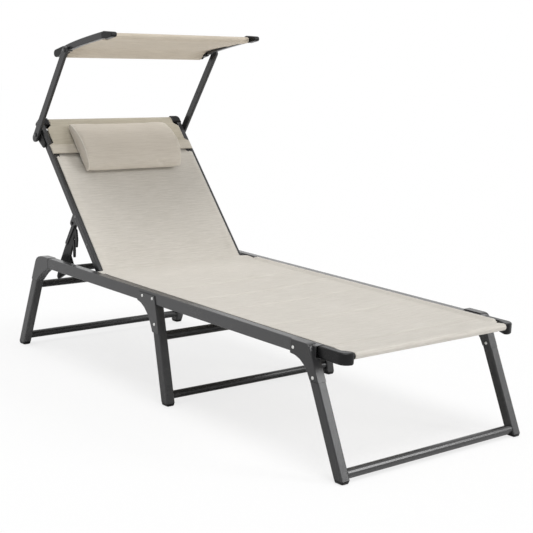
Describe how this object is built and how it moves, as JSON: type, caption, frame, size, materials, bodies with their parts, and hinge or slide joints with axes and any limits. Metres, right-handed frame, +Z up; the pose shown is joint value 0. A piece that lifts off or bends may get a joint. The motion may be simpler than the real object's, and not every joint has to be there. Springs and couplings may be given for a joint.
{
  "type": "sun lounger with canopy",
  "caption": "Wide aluminium sun lounger with stretched fabric, adjustable backrest on a toothed prop, headrest pillow and a small tilting canopy on arms.",
  "frame": {"origin": "on the ground at the middle of the footprint, on the centre plane", "axes": "+Y from the foot end to the head end, +Z up, +X to the sitter's left"},
  "size_m": [0.7364, 1.6898, 1.119],
  "materials": {
    "graphite_aluminium": "powder-coated satin graphite",
    "black_plastic": "moulded, lightly textured",
    "steel": "zinc plated",
    "sling_fabric": "woven plastic-coated yarn, sand",
    "pillow_fabric": "woven plastic-coated yarn, sand, over wadding"
  },
  "bodies": {
    "frame": {"rail_right": "graphite_aluminium", "foot_bracket_right": "graphite_aluminium", "foot_leg_right": "graphite_aluminium", "middle_plate_right": "graphite_aluminium", "middle_leg_right": "graphite_aluminium", "rear_elbow_right": "graphite_aluminium", "rear_leg_right": "graphite_aluminium", "foot_corner_cap_right": "black_plastic", "foot_pad_right": "black_plastic", "middle_pad_right": "black_plastic", "rear_pad_right": "black_plastic", "hinge_pin_right": "steel", "rail_left": "graphite_aluminium", "foot_bracket_left": "graphite_aluminium", "foot_leg_left": "graphite_aluminium", "middle_plate_left": "graphite_aluminium", "middle_leg_left": "graphite_aluminium", "rear_elbow_left": "graphite_aluminium", "rear_leg_left": "graphite_aluminium", "foot_corner_cap_left": "black_plastic", "foot_pad_left": "black_plastic", "middle_pad_left": "black_plastic", "rear_pad_left": "black_plastic", "hinge_pin_left": "steel", "foot_crossbar": "graphite_aluminium", "foot_lower_crossbar": "graphite_aluminium", "middle_upper_crossbar": "graphite_aluminium", "middle_lower_crossbar": "graphite_aluminium", "rear_upper_crossbar": "graphite_aluminium", "rear_lower_crossbar": "graphite_aluminium", "catch_crossbar": "graphite_aluminium", "seat_rear_bar": "graphite_aluminium", "seat_sling": "sling_fabric"},
    "backrest": {"backrest_tube_right": "graphite_aluminium", "backrest_corner_cap_right": "black_plastic", "backrest_end_plug_right": "black_plastic", "arm_bracket_right": "black_plastic", "backrest_tube_left": "graphite_aluminium", "backrest_corner_cap_left": "black_plastic", "backrest_end_plug_left": "black_plastic", "arm_bracket_left": "black_plastic", "backrest_lower_bar": "graphite_aluminium", "backrest_top_bar": "graphite_aluminium", "backrest_sling": "sling_fabric", "headrest_hood": "sling_fabric", "pillow": "pillow_fabric"},
    "prop": {"prop_axle": "steel", "prop_rack_right": "black_plastic", "prop_rack_left": "black_plastic"},
    "canopy_arms": {"canopy_arm_right": "graphite_aluminium", "canopy_arm_left": "graphite_aluminium"},
    "canopy": {"canopy_side_tube_right": "graphite_aluminium", "canopy_front_cap_right": "black_plastic", "canopy_rear_elbow_right": "black_plastic", "canopy_side_tube_left": "graphite_aluminium", "canopy_front_cap_left": "black_plastic", "canopy_rear_elbow_left": "black_plastic", "canopy_front_bar": "graphite_aluminium", "canopy_rear_bar": "graphite_aluminium", "canopy_cloth": "sling_fabric"}
  },
  "joints": [
    {"name": "backrest_recline", "type": "hinge", "parent": "frame", "child": "backrest", "pos_m": [0, 0.40983, 0.327], "axis": [1, 0, 0], "range_deg": [-43, 16]},
    {"name": "prop_swing", "type": "hinge", "parent": "backrest", "child": "prop", "pos_m": [0, 0.58954, 0.47004], "axis": [1, 0, 0], "range_deg": [-16, 43]},
    {"name": "canopy_lift", "type": "hinge", "parent": "backrest", "child": "canopy_arms", "pos_m": [0, 0.7973, 0.74987], "axis": [1, 0, 0], "range_deg": [-60, 25]},
    {"name": "canopy_tilt", "type": "hinge", "parent": "canopy_arms", "child": "canopy", "pos_m": [0, 0.61719, 1.04845], "axis": [1, 0, 0], "range_deg": [-30, 35]}
  ],
  "couplings": [
    {"joint": "prop_swing", "follows": "backrest_recline", "ratio": -1}
  ]
}
